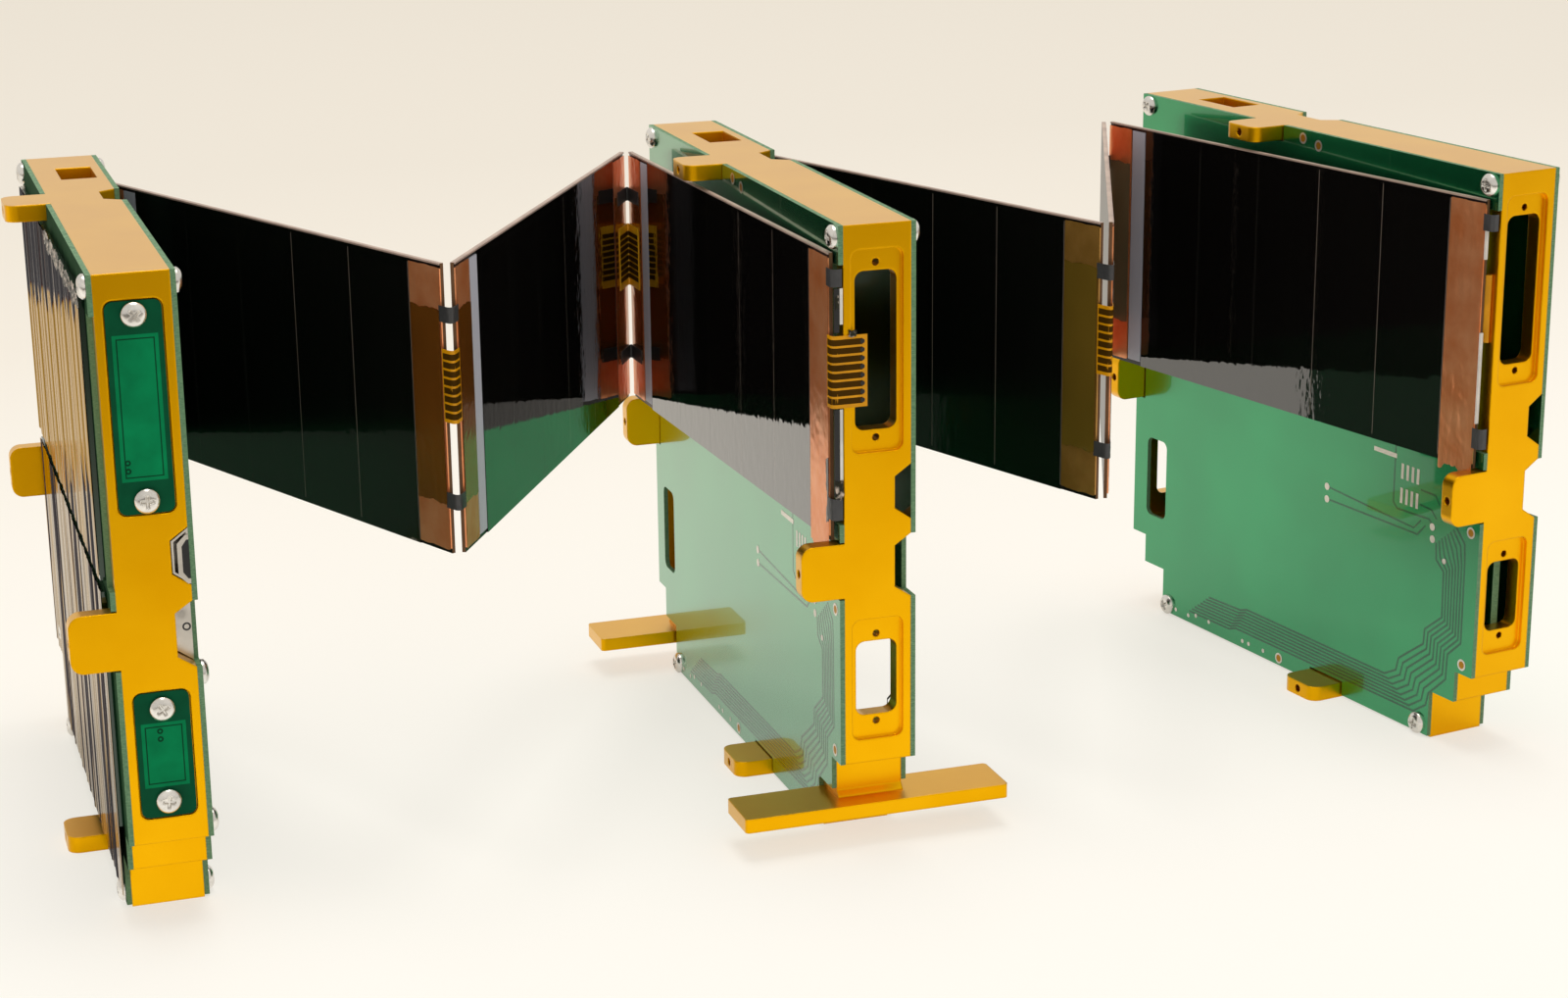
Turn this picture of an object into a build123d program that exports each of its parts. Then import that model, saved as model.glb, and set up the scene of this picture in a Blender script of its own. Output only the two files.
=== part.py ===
"""A string of three flat square satellites, joined by two strings of folding solar panels.

Each satellite is a machined metal ring with a circuit board on both broad faces, and it stands on its lower
edge. A string is three stiff panels in a fan fold: it leaves the far edge of one satellite and ends at the
near edge of the next. Every fold is a hinge with an upright axis.

Every body is drawn as it lies in the folded stack, where all satellites and panels are parallel, and then
turned about its hinge axes into the loose zigzag in which the string stands. Millimetres, Z up. In the
stack X runs through the thickness of the satellites and Y from their near edge to their far edge. The origin
lies on the floor, under the centre of the middle satellite.
"""
import os

from build123d import *

# How far a cut runs past the face that it starts from
cut_past = 1.0

# Ring of one satellite: its outline seen square on, with two steps at each lower corner
ring_side = 114.0
ring_height = 113.7
ring_depth = 12.4
ring_wall = 4.0
step_low_height = 9.8
step_high_height = 16.0
step_high_inset = 4.8
step_low_inset = 7.1

# Pockets on the near and far edges: a sunk land with a slot and two tapped holes
pocket_table = (
    # height of the centre, length of the land, length of the slot, distance between the holes
    (91.3, 36.0, 28.2, 31.0),
    (31.6, 22.6, 13.8, 16.4),
)
pocket_width = 9.6
pocket_sink = 0.9
pocket_corner = 1.6
slot_width = 7.7
slot_corner = 1.7
pocket_hole_radius = 0.65

# Window through the top wall
top_window_centre = 94.8
top_window_length = 12.4
top_window_width = 6.6
top_window_shift = 1.3

# Lugs that reach over to the next satellite of the stack, and the notches that take them
lug_height_on_edge = 52.2
lug_along_top = 70.0
lug_width = 10.0
lug_thick = 3.0
lug_reach = 8.0
lug_corner = 2.2
lug_hole_radius = 0.8
lug_hole_depth = 5.0
notch_mouth = 11.6
notch_floor = 7.6
notch_depth = 3.0
port_height = 65.7
port_notch_mouth = 10.0
port_notch_floor = 5.8

# Boards on the two broad faces
board_thick = 0.9
board_foot_gap = 0.4
board_notch_margin = 0.3
board_lug_notch_depth = 4.6
cutback_low = 60.7
cutback_high = 106.9
cutback_depth = 3.2
board_slot_from_far = 8.4
board_slot_width = 7.2
board_slot_height = 17.6
board_slot_centre = 29.8
board_slot_corner = 1.6
window_from_near = 8.0
window_length = 46.0
window_low = 14.0
window_high = 42.0

# Rails on the middle satellite, by which the stack is held in its launcher
rail_reach = 25.15
rail_width = 11.2
rail_thick = 2.6
rail_top = 8.2
rail_overhang = 0.5
rail_corner = 0.8
rail_stem_flare = 1.1

# The far rail is shorter on the left, where the left satellite's foot swings past it
far_rail_left_reach = 23.0

# Solar panels: board, copper at both ends, a bus strip and five cells on the front
panel_low = 57.6
panel_high = 108.8
panel_board_thick = 0.65
panel_skin_thick = 0.25
panel_gap = 0.3
panel_end_gap = 1.0
panel_border = 0.9
cell_count = 5
cell_gap = 0.35
bus_width = 4.0
copper_bus_end = 7.4
copper_plain_end = 8.9

# Hinges: two straps and one flat cable on the front of the panels, bent about the pin line
strap_thick = 0.12
link_table = (
    # node, (centre height, width) on a fold between panels, the same at a satellite, reach, land
    ("straps", (100.2, 2.8), (103.3, 3.4), 1.6, 0.5),
    ("straps", (67.3, 2.8), (63.2, 3.4), 1.6, 0.5),
    ("cable", (87.7, 12.8), (87.0, 13.2), 1.8, 4.6),
)
hidden_cable_reach = 3.0
corner_bend = 0.1

# Opening angles of the four folds of each string in the standing zigzag, measured from the folded stack
left_string_open = (23.8, 54.5, 32.8, 2.0)
right_string_open = (20.0, 43.9, 37.7, 4.6)

# Fittings of the left satellite
cover_thick = 0.8
cover_margin = 0.25
cover_hole_radius = 0.9
port_margin = 0.15
port_depth = 3.6
port_wall = 0.35
plug_behind_lug = 0.4
outer_upper = (61.6, 109.4)
outer_lower = (18.0, 59.6)
outer_from_edge = 4.6
outer_thick = 0.9

# Inner board of the right satellite, which shows through its lower near slot
inner_board_across = (6.6, 8.2)
inner_board_height = (20.5, 62.0)

# What follows from the sizes above
panel_thick = panel_board_thick + panel_skin_thick
panel_pitch = panel_thick + panel_gap
stack_gap = 3 * panel_pitch + panel_gap
stack_pitch = ring_depth + 2 * board_thick + stack_gap
near_pin = panel_thick
far_pin = ring_side - panel_thick
foot_inset = step_high_inset + step_low_inset
origin_shift = Pos(-ring_depth / 2, -ring_side / 2, 0)

nodes = {}


def keep(name, shape, place):
    """Store a piece under its node name, standing where it belongs."""
    nodes[name] = origin_shift * place * shape


def block(x, y, z):
    """A plain block from three pairs of limits."""
    size = [abs(b - a) for a, b in (x, y, z)]
    middle = [(a + b) / 2 for a, b in (x, y, z)]
    return Pos(*middle) * Box(*size)


def stepped_face(foot, inset=0.0):
    """The stepped outline of a satellite as a face in the Y-Z plane, from a height above the floor."""
    half = [
        (foot_inset + inset, foot + inset),
        (foot_inset + inset, step_low_height + inset),
        (step_high_inset + inset, step_low_height + inset),
        (step_high_inset + inset, step_high_height + inset),
        (inset, step_high_height + inset),
        (inset, ring_height - inset),
    ]
    points = half + [(ring_side - y, z) for y, z in reversed(half)]
    return Plane.YZ * make_face(Polyline(*points, close=True))


def edge_plane(far, height):
    """A plane on the near or far edge, with X across the ring and its normal pointing out."""
    y, outward = (ring_side, 1) if far else (0, -1)
    return Plane(origin=(ring_depth / 2, y, height), x_dir=(1, 0, 0), z_dir=(0, outward, 0))


def pocket_cuts():
    """Sunk lands, slots and tapped holes on both upright edges."""
    cuts = []
    for far in (False, True):
        for height, land, slot, spacing in pocket_table:
            plane = edge_plane(far, height)
            through = -ring_wall - cut_past
            cuts.append(extrude(plane * RectangleRounded(pocket_width, land, pocket_corner), -pocket_sink))
            cuts.append(extrude(plane * RectangleRounded(slot_width, slot, slot_corner), through))
            for end in (-1, 1):
                cuts.append(extrude(plane * Pos(0, end * spacing / 2) * Circle(pocket_hole_radius), through))
    return cuts


def lug():
    """One lug, drawn on the near edge: a plate along -X with rounded tip corners and a tapped hole."""
    plate = block((-lug_reach, ring_wall), (0, lug_thick), (-lug_width / 2, lug_width / 2))
    tips = plate.edges().filter_by(Axis.Y).group_by(Axis.X)[0]
    plate = fillet(tips, lug_corner)
    mouth = Plane(origin=(-lug_reach, lug_thick / 2, 0), z_dir=(1, 0, 0))
    return plate - extrude(mouth * Circle(lug_hole_radius), lug_hole_depth)


def half_hexagon(mouth, floor, margin=0.0):
    """The outline of a notch in the right-hand face, centred on z = 0, drawn in by a margin."""
    floor_x = ring_depth - notch_depth + margin
    half = [(ring_depth, mouth / 2 - margin), (floor_x, floor / 2 - margin)]
    points = half + [(x, -z) for x, z in reversed(half)]
    return Plane.XZ * make_face(Polyline(*points, close=True))


def notch(mouth, floor):
    """Half a hexagon cut into the right-hand face through the near edge."""
    return Pos(0, -cut_past, 0) * extrude(half_hexagon(mouth, floor), -ring_wall - 2 * cut_past)


def on_four_edges(shape):
    """Copies of a shape drawn on the near edge, centred on z = 0, on all four edges of a satellite."""
    near = Pos(0, 0, lug_height_on_edge) * shape
    far = Pos(0, ring_side, lug_height_on_edge) * mirror(shape, Plane.XZ)
    top = Pos(0, lug_along_top, ring_height) * Rot(-90, 0, 0) * shape
    low = Pos(0, ring_side - lug_along_top, 0) * Rot(90, 0, 0) * shape
    return [near, far, top, low]


def rail(left_reach):
    """One flat rail across the near foot of a satellite."""
    along_x = (ring_depth / 2 - left_reach, ring_depth / 2 + rail_reach)
    plate = block(along_x, (-rail_overhang, rail_width - rail_overhang), (rail_top - rail_thick, rail_top))
    return fillet(plate.edges().filter_by(Axis.Z), rail_corner)


def rail_stems():
    """What joins the rails to the ring under its high steps, flared where it meets a rail."""
    inner = rail_width - rail_overhang
    outline = Polyline(
        (step_high_inset - rail_stem_flare, rail_top),
        (step_high_inset, rail_top + rail_stem_flare),
        (step_high_inset, step_low_height + cut_past),
        (foot_inset + ring_wall, step_low_height + cut_past),
        (foot_inset + ring_wall, rail_top - rail_thick),
        (inner, rail_top - rail_thick),
        (inner, rail_top),
        close=True,
    )
    near = extrude(Plane.YZ * make_face(outline), ring_depth)
    return [near, to_far_edge(near)]


def to_far_edge(shape):
    """The mirror image of a shape of the near half on the far half of a satellite."""
    return mirror(shape, Plane.XZ.offset(-ring_side / 2))


def frame(with_rails):
    """The machined ring with its pockets, lugs and notches."""
    ring = extrude(stepped_face(0), ring_depth)
    if with_rails:
        ring = ring + rail_stems()
    ring = ring - extrude(stepped_face(0, ring_wall), ring_depth)
    ring = ring - pocket_cuts()
    ring = ring + on_four_edges(lug())
    ring = ring - on_four_edges(notch(notch_mouth, notch_floor))
    ring = ring - Pos(0, 0, port_height) * notch(port_notch_mouth, port_notch_floor)
    window = Box(top_window_width, top_window_length, 2 * (ring_wall + cut_past))
    return ring - Pos(ring_depth / 2 + top_window_shift, top_window_centre, ring_height) * window


def board(right, with_window=False):
    """A circuit board on one broad face, cut back round the lugs, notches and hinges."""
    x = ring_depth if right else -board_thick
    through = (x - cut_past, x + board_thick + cut_past)
    plate = Pos(x, 0, 0) * extrude(stepped_face(board_foot_gap), board_thick)
    if right:
        depth, width = board_lug_notch_depth, notch_mouth
        hinge_edge = (ring_side - cutback_depth, ring_side + cut_past)
    else:
        depth, width = lug_thick + board_notch_margin, lug_width + 2 * board_notch_margin
        hinge_edge = (-cut_past, cutback_depth)
        slot = RectangleRounded(board_slot_width, board_slot_height, board_slot_corner)
        slot_place = Plane.YZ * Pos(ring_side - board_slot_from_far, board_slot_centre, -board_thick)
        plate = plate - extrude(slot_place * slot, board_thick, both=True)
    plate = plate - on_four_edges(block(through, (-cut_past, depth), (-width / 2, width / 2)))
    plate = plate - block(through, hinge_edge, (cutback_low, cutback_high))
    if with_window:
        window = (window_from_near, window_from_near + window_length)
        plate = plate - block(through, window, (window_low, window_high))
    return plate


def panel(low_x, toward):
    """The pieces of a panel from x = low_x, with its front toward -X or +X."""
    near, far = near_pin + panel_end_gap, far_pin - panel_end_gap
    length = far - near
    back = low_x if toward > 0 else low_x + panel_thick
    skin = (back + toward * panel_board_thick, back + toward * panel_thick)

    def piece(start, end):
        """A thin piece on the front, between two distances from the bus end."""
        along = (near + start, near + end) if toward > 0 else (far - start, far - end)
        return block(skin, along, (panel_low + panel_border, panel_high - panel_border))

    bus_start = copper_bus_end + cell_gap
    cells_start = bus_start + bus_width + cell_gap
    pitch = (length - copper_plain_end - cells_start) / cell_count
    starts = [cells_start + index * pitch for index in range(cell_count)]
    return {
        "board": block((back, skin[0]), (near, far), (panel_low, panel_high)),
        "cells": Compound([piece(start, start + pitch - cell_gap) for start in starts]),
        "bus": piece(bus_start, bus_start + bus_width),
        "copper": Compound([piece(0, copper_bus_end), piece(length - copper_plain_end, length)]),
    }


def folded(pin, angle):
    """A turn about an upright axis through a pin line of the stack."""
    return Pos(pin[0], pin[1], 0) * Rot(0, 0, angle) * Pos(-pin[0], -pin[1], 0)


def plan_point(place, x, y):
    """Where a point of the stack stands in the zigzag, seen from above."""
    spot = (place * Pos(x, y, 0)).position
    return Vector(spot.X, spot.Y)


def meeting(first, second):
    """The point where two lines meet, each given by two points."""
    start, along = first[0], first[1] - first[0]
    other, across = second[0], second[1] - second[0]
    share = (other - start).cross(across).Z / along.cross(across).Z
    return start + along * share


def ribbon(points, inner_radius, height, width):
    """A thin upright strip along a line seen from above, with round bends."""
    line = FilletPolyline(*points, radius=inner_radius + strap_thick / 2)
    outline = offset(line, strap_thick / 2, side=Side.BOTH, kind=Kind.INTERSECTION)
    return Pos(0, 0, height - width / 2) * extrude(make_face(outline), width)


def add_links(name, points_for, inner_radius, at_satellite, cable_points=None):
    """The straps and the cable of one fold; points_for gives the line for a reach and a land."""
    pieces = {"straps": [], "cable": []}
    for node, on_panels, on_satellite, reach, land in link_table:
        height, width = on_satellite if at_satellite else on_panels
        points = cable_points if cable_points and node == "cable" else points_for(reach, land)
        pieces[node].append(ribbon(points, inner_radius, height, width))
    for node, solids in pieces.items():
        keep(node + "_" + name, Compound(solids), Location())


def string_pins(face):
    """The four pin lines of a string whose first satellite's board ends at x = face."""
    return (
        (face + panel_gap, far_pin),
        (face + panel_pitch + panel_gap / 2, near_pin),
        (face + 2 * panel_pitch + panel_gap / 2, far_pin),
        (face + stack_gap - panel_gap, near_pin),
    )


def add_string(face, places, names, last_cable_hidden=False):
    """Three panels and four folds; places and names run from the first satellite to the second."""
    pins = string_pins(face)
    half = strap_thick / 2
    towards = (-1, 1, -1)
    lines = []
    for index, toward in enumerate(towards):
        low_x = face + panel_gap + index * panel_pitch
        for piece, shape in panel(low_x, toward).items():
            keep("panel_" + names[index + 1] + "_" + piece, shape, places[index + 1])
        lines.append(low_x - half if toward < 0 else low_x + panel_thick + half)

    def front(index, fold, reach):
        """The strap's line on a panel's front: its end, and the point abreast of the pin."""
        y = pins[fold][1]
        arm = reach if y == near_pin else -reach
        place = places[index + 1]
        return plan_point(place, lines[index], y + arm), plan_point(place, lines[index], y)

    def far_edge(reach, land):
        """From the first panel round the far corner of the first satellite."""
        corner = plan_point(places[0], face - board_thick + half, ring_side + half)
        end = plan_point(places[0], face - board_thick - land, ring_side + half)
        return [*front(0, 0, reach), corner, end]

    def between(fold):
        """From one panel to the next."""
        def points(reach, _):
            first, second = front(fold - 1, fold, reach), front(fold, fold, reach)
            return [first[0], meeting(first, second), second[0]]
        return points

    def near_edge(reach, land):
        """From the last panel on to the near edge of the second satellite."""
        ring = face + stack_gap + board_thick
        first = front(2, 3, reach)
        second = plan_point(places[4], ring + land, -half), plan_point(places[4], ring, -half)
        return [first[0], meeting(first, second), second[0]]

    add_links(names[0] + "_" + names[1], far_edge, corner_bend, True)
    add_links(names[1] + "_" + names[2], between(1), panel_gap / 2 + panel_thick, False)
    add_links(names[2] + "_" + names[3], between(2), panel_gap / 2 - strap_thick, False)
    if last_cable_hidden:
        back = face + stack_gap - panel_gap + half
        ring = face + stack_gap + board_thick - half
        cable = [
            plan_point(places[3], back, near_pin + hidden_cable_reach),
            plan_point(places[3], back, 0),
            plan_point(places[4], ring, 0),
            plan_point(places[4], ring, hidden_cable_reach),
        ]
        add_links(names[3] + "_" + names[4], near_edge, corner_bend, True, cable)
    else:
        add_links(names[3] + "_" + names[4], near_edge, panel_thick, True)


def add_satellite(name, place, with_rails=False, with_window=False):
    """The ring and the two boards of one satellite."""
    keep(name + "_frame", frame(with_rails), place)
    keep(name + "_board_left", board(False), place)
    keep(name + "_board_right", board(True, with_window), place)


def add_left_fittings(place):
    """Cover boards in the near pockets, ports in the side notches, and two fixed solar panels."""
    covers = []
    for height, land, _, spacing in pocket_table:
        plane = edge_plane(False, height).offset(-pocket_sink)
        size = (pocket_width - 2 * cover_margin, land - 2 * cover_margin)
        face = RectangleRounded(*size, pocket_corner - cover_margin)
        holes = [Pos(0, end * spacing / 2) * Circle(cover_hole_radius) for end in (-1, 1)]
        covers.append(extrude(plane * (face - holes), cover_thick))
    keep("left_covers", Compound(covers), place)
    outline = half_hexagon(port_notch_mouth, port_notch_floor, port_margin)
    shell = extrude(outline, -port_depth) - extrude(offset(outline, -port_wall), port_wall - port_depth)
    plug = extrude(half_hexagon(notch_mouth, notch_floor, port_margin), -port_depth)
    behind_lug = lug_thick + plug_behind_lug
    ports = Compound([Pos(0, 0, port_height) * shell, Pos(0, behind_lug, lug_height_on_edge) * plug])
    keep("left_ports", ports, place)
    across = (-board_thick - outer_thick, -board_thick)
    along = (outer_from_edge, ring_side - outer_from_edge)
    keep("left_outer_upper", block(across, along, outer_upper), place)
    keep("left_outer_lower", block(across, along, outer_lower), place)


# Where each body stands: turns about the pins, one after the other from the middle satellite
middle = Location()
left_face = -board_thick - stack_gap
right_face = ring_depth + board_thick
left_pins = string_pins(left_face)
right_pins = string_pins(right_face)
panel_c = folded(left_pins[3], left_string_open[3])
panel_b = panel_c * folded(left_pins[2], -left_string_open[2])
panel_a = panel_b * folded(left_pins[1], left_string_open[1])
left = panel_a * folded(left_pins[0], -left_string_open[0])
panel_d = folded(right_pins[0], right_string_open[0])
panel_e = panel_d * folded(right_pins[1], -right_string_open[1])
panel_f = panel_e * folded(right_pins[2], right_string_open[2])
right = panel_f * folded(right_pins[3], -right_string_open[3])

add_satellite("middle", middle, with_rails=True, with_window=True)
keep("middle_rail_near", rail(rail_reach), middle)
keep("middle_rail_far", to_far_edge(rail(far_rail_left_reach)), middle)
add_satellite("left", left * Pos(-stack_pitch, 0, 0))
add_left_fittings(left * Pos(-stack_pitch, 0, 0))
add_satellite("right", right * Pos(stack_pitch, 0, 0))
inner_board = block(inner_board_across, (ring_wall, ring_side - ring_wall), inner_board_height)
keep("right_inner_board", inner_board, right * Pos(stack_pitch, 0, 0))
add_string(left_face, (left, panel_a, panel_b, panel_c, middle), ("left", "a", "b", "c", "middle"))
add_string(right_face, (middle, panel_d, panel_e, panel_f, right), ("middle", "d", "e", "f", "right"), True)

os.makedirs("parts", exist_ok=True)
for node_name, node_shape in nodes.items():
    export_step(node_shape, "parts/" + node_name + ".step")

# The hinge lines, for whoever reads the build: place, sense of opening and range
chain = (
    ("left string", left_pins, (left, panel_a, panel_b, panel_c), left_string_open),
    ("right string", right_pins, (middle, panel_d, panel_e, panel_f), right_string_open),
)
for label, pins, places, angles in chain:
    for index, (pin, place, angle) in enumerate(zip(pins, places, angles)):
        spot = (origin_shift * place * Pos(pin[0], pin[1], 0)).position
        full = 90 if index in (0, 3) else 180
        print(label, index, round(spot.X, 3), round(spot.Y, 3), "range", -angle, round(full - angle, 1))
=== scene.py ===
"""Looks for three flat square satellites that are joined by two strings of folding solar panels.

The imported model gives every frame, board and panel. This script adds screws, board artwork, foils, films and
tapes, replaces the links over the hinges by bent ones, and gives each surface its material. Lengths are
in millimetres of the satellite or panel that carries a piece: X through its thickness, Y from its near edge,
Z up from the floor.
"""
import math

import bpy
import numpy as np
from mathutils import Matrix, Vector


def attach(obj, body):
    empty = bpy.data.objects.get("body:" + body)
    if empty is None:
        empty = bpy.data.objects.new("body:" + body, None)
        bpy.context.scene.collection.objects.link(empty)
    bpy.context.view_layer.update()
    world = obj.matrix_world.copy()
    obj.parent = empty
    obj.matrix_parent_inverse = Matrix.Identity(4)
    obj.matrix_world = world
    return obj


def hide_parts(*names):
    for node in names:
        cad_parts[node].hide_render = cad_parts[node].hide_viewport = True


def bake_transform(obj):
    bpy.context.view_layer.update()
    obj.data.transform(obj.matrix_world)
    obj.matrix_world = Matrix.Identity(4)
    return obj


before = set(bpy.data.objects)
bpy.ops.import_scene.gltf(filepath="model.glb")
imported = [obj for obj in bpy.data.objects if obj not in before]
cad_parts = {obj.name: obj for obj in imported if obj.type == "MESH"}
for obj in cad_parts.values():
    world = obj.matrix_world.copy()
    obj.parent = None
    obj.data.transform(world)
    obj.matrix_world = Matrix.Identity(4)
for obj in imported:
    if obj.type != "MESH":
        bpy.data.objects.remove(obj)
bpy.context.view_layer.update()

MM = 0.001
UP = np.array((0.0, 0.0, 1.0))


# Camera: near left of the object, looking a little down
CAMERA_PLACE = (-0.1756, -0.5276, 0.2126)
CAMERA_YAW = math.radians(18.596)
CAMERA_PITCH = math.radians(16.383)
CAMERA_ROLL = math.radians(-0.623)
CAMERA_LENS = 68.83
CAMERA_NEAR = 0.01


def new_object(name, data):
    """An object for some data, linked to the scene."""
    thing = bpy.data.objects.new(name, data)
    bpy.context.scene.collection.objects.link(thing)
    return thing


def add_camera():
    """The camera, turned by yaw, pitch and roll."""
    sin_yaw, cos_yaw, cos_pitch = math.sin(CAMERA_YAW), math.cos(CAMERA_YAW), math.cos(CAMERA_PITCH)
    forward = Vector((sin_yaw * cos_pitch, cos_yaw * cos_pitch, -math.sin(CAMERA_PITCH)))
    level = Vector((cos_yaw, -sin_yaw, 0))
    upright = level.cross(forward)
    right = level * math.cos(CAMERA_ROLL) + upright * math.sin(CAMERA_ROLL)
    up = upright * math.cos(CAMERA_ROLL) - level * math.sin(CAMERA_ROLL)
    data = bpy.data.cameras.new("camera")
    data.lens = CAMERA_LENS
    data.clip_start = CAMERA_NEAR
    camera = new_object("camera", data)
    turn = Matrix((right, up, -forward)).transposed().to_4x4()
    camera.matrix_world = Matrix.Translation(CAMERA_PLACE) @ turn
    bpy.context.scene.camera = camera


# Places


class Place:
    """The upright frame of a thin flat node, in the frame's metres."""

    def __init__(self, node, body):
        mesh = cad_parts[node].data
        areas = np.array([polygon.area for polygon in mesh.polygons])
        normals = np.array([polygon.normal for polygon in mesh.polygons])
        broad = normals[np.argmax(areas * (np.abs(normals[:, 2]) < 0.1))]
        self.x = broad * np.sign(broad[0])
        self.y = np.array((-self.x[1], self.x[0], 0.0))
        points = np.array([vertex.co for vertex in mesh.vertices])
        across, along = points @ self.x, points @ self.y
        self.thick = (across.max() - across.min()) / MM
        self.long = (along.max() - along.min()) / MM
        self.low, self.high = points[:, 2].min() / MM, points[:, 2].max() / MM
        self.corner = self.x * across.min() + self.y * along.min()
        self.body = body

    def world(self, points):
        """Points in millimetres of this frame, as metres of the whole model."""
        points = np.asarray(points, float) * MM
        return self.corner + (points[..., 0:1] * self.x + points[..., 1:2] * self.y + points[..., 2:3] * UP)


SATELLITES = {}
for satellite in ("left", "middle", "right"):
    place = Place(satellite + "_board_left", satellite)
    place.corner = place.corner + place.x * place.thick * MM
    SATELLITES[satellite] = place
PANELS = {letter: Place("panel_" + letter + "_board", "panel_" + letter) for letter in "abcdef"}
BOARD_THICK = Place("middle_board_left", "middle").thick
RING_DEPTH = Place("middle_board_right", "middle").corner[0] / MM - SATELLITES["middle"].corner[0] / MM
RING_SIDE = SATELLITES["middle"].long


# Mesh helpers


def add_mesh(name, points, faces, body, material, slot, smooth=False):
    """A mesh from points in the model's metres and lists of corners, riding on a body."""
    mesh = bpy.data.meshes.new(name)
    mesh.from_pydata([tuple(point) for point in points], [], [tuple(face) for face in faces])
    mesh.update()
    mesh.materials.append(material)
    if smooth:
        mesh.polygons.foreach_set("use_smooth", np.ones(len(mesh.polygons), bool))
    thing = new_object(name, mesh)
    if body:
        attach(thing, body)
    return thing


def add_piece(name, place, shape, material, slot, smooth=False):
    """A piece from points and faces in the millimetres of a place, riding on its body."""
    points, faces = shape
    return add_mesh(name, place.world(points), faces, place.body, material, slot, smooth)


def grid_faces(rows, columns, wrap=False):
    """Quads of a grid of rows by columns; wrap joins the last column to the first."""
    across = np.arange(columns if wrap else columns - 1)
    row, column = np.meshgrid(np.arange(rows - 1), across, indexing="ij")
    here, below, after = row * columns, (row + 1) * columns, (column + 1) % columns
    corners = (here + column, here + after, below + after, below + column)
    return np.stack([corner.ravel() for corner in corners], 1)


def grid(x, y, z):
    """Points and quads of a surface from its coordinates on a grid."""
    x, y, z = np.broadcast_arrays(x, y, z)
    return np.stack((x, y, z), -1).reshape(-1, 3), grid_faces(*x.shape)


def spread(start, end, rows, columns):
    """Even places from start to end down a grid, and shares from 0 to 1 across it."""
    return np.meshgrid(np.linspace(start, end, rows), np.linspace(0, 1, columns), indexing="ij")


def flipped(shape):
    """The same points with every face turned over."""
    return shape[0], [face[::-1] for face in shape[1]]


def box_mesh(low, high):
    """Corners and faces of a block."""
    x, y, z = zip(low, high)
    points = [(i, j, k) for i in x for j in y for k in z]
    faces = [(0, 1, 3, 2), (4, 6, 7, 5), (0, 4, 5, 1), (2, 3, 7, 6), (0, 2, 6, 4), (1, 5, 7, 3)]
    return np.array(points, float), np.array(faces)


def join(pieces):
    """One list of points and faces from several."""
    points, faces, count = [], [], 0
    for some_points, some_faces in pieces:
        points.append(some_points)
        faces.extend([[corner + count for corner in face] for face in some_faces])
        count += len(some_points)
    return np.concatenate(points), faces


# Materials
COAT_ROUGHNESS = 0.03
RESIST = (0.018, 0.33, 0.118)


def connect(tree, node, inputs):
    """Set inputs of a node, or link them where a socket is given."""
    for key, value in inputs.items():
        if isinstance(value, bpy.types.NodeSocket):
            tree.links.new(value, node.inputs[key])
        else:
            node.inputs[key].default_value = value


def add_node(tree, kind, inputs, output=0):
    """One output of a new node with these inputs."""
    node = tree.nodes.new("ShaderNode" + kind)
    connect(tree, node, inputs)
    return node.outputs[output]


def math_node(tree, operation, *values):
    """The result of an operation on values or sockets."""
    result = add_node(tree, "Math", dict(enumerate(values)))
    result.node.operation = operation
    return result


def new_material(name, color, roughness, metallic=0.0, coat=0.0, ior=1.5, coat_ior=1.5):
    """A principled material, its node tree and its shader."""
    material = bpy.data.materials.new(name)
    material.use_nodes = True
    tree = material.node_tree
    shader = tree.nodes["Principled BSDF"]
    connect(tree, shader, {
        "Base Color": (*color, 1), "Roughness": roughness, "Metallic": metallic, "IOR": ior,
        "Coat Weight": coat, "Coat Roughness": COAT_ROUGHNESS, "Coat IOR": coat_ior,
    })
    return material, tree, shader


def noise(tree, scale, detail=2.0, stretch=(1, 1, 1)):
    """A noise of object space, scaled per axis."""
    place = add_node(tree, "TexCoord", {}, "Object")
    place = add_node(tree, "Mapping", {"Vector": place, "Scale": stretch})
    return add_node(tree, "TexNoise", {"Vector": place, "Scale": scale, "Detail": detail}, "Fac")


def facing(tree):
    """How far a surface turns away from the eye, from 0 to 1."""
    return add_node(tree, "LayerWeight", {"Blend": 0.5}, "Facing")


def ramp(tree, source, stops):
    """A colour ramp from a value, with stops of place and colour or grey."""
    color = add_node(tree, "ValToRGB", {"Fac": source}, "Color")
    elements = color.node.color_ramp.elements
    for index, (spot, tone) in enumerate(stops):
        element = elements[index] if index < 2 else elements.new(spot)
        element.position = spot
        element.color = (*(tone if isinstance(tone, tuple) else (tone,) * 3), 1)
    return color


def tint(tree, shader, source, dark, pale, low=0.3, high=0.7):
    """Base colour between two tones by a noise."""
    connect(tree, shader, {"Base Color": ramp(tree, source, ((low, dark), (high, pale)))})


def add_bump(tree, shader, heights, distance, edge_radius=0.0, coat=False):
    """Bump from pairs of height and strength, over edges that a bevel makes round."""
    normal = None
    if edge_radius:
        normal = add_node(tree, "Bevel", {"Radius": edge_radius})
        normal.node.samples = 4
    for height, strength in heights:
        inputs = {"Height": height, "Strength": strength, "Distance": distance}
        if normal:
            inputs["Normal"] = normal
        normal = add_node(tree, "Bump", inputs)
    connect(tree, shader, {"Normal": normal})
    if coat:
        connect(tree, shader, {"Coat Normal": normal})


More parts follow.
